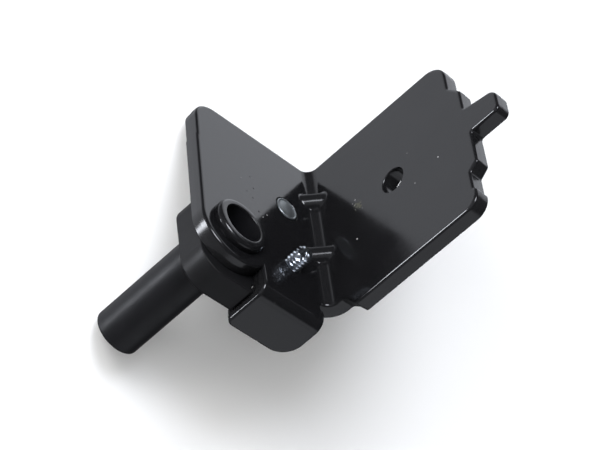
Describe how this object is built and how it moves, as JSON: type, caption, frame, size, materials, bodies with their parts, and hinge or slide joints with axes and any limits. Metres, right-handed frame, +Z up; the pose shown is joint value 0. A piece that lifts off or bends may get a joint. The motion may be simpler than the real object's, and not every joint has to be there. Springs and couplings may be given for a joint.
{
  "type": "refrigerator lower hinge",
  "caption": "Stamped steel bracket with an upright hollow hinge pin in a riser block, an upturned door stop ear, pressed gussets and a bolt-on rear plate with a locating finger.",
  "frame": {"origin": "on the hinge pin's axis, level with the upper face of the pin plate", "axes": "+Z up along the hinge pin, +Y to the rear, out of the face that bolts to the cabinet, +X along the bend away from the door stop ear"},
  "size_m": [0.0623, 0.0474, 0.1114],
  "materials": {
    "bracket_paint": "glossy black paint over steel",
    "pin_paint": "semi-gloss black finish over steel",
    "riser_plastic": "satin black moulded plastic",
    "screw_zinc": "bright zinc plating",
    "rivet_metal": "satin bare metal"
  },
  "bodies": {
    "root": {"hinge_bracket": "bracket_paint", "hinge_pin": "pin_paint", "riser_block": "riser_plastic", "riser_screw": "screw_zinc", "stop_rivet": "rivet_metal"}
  },
  "joints": []
}
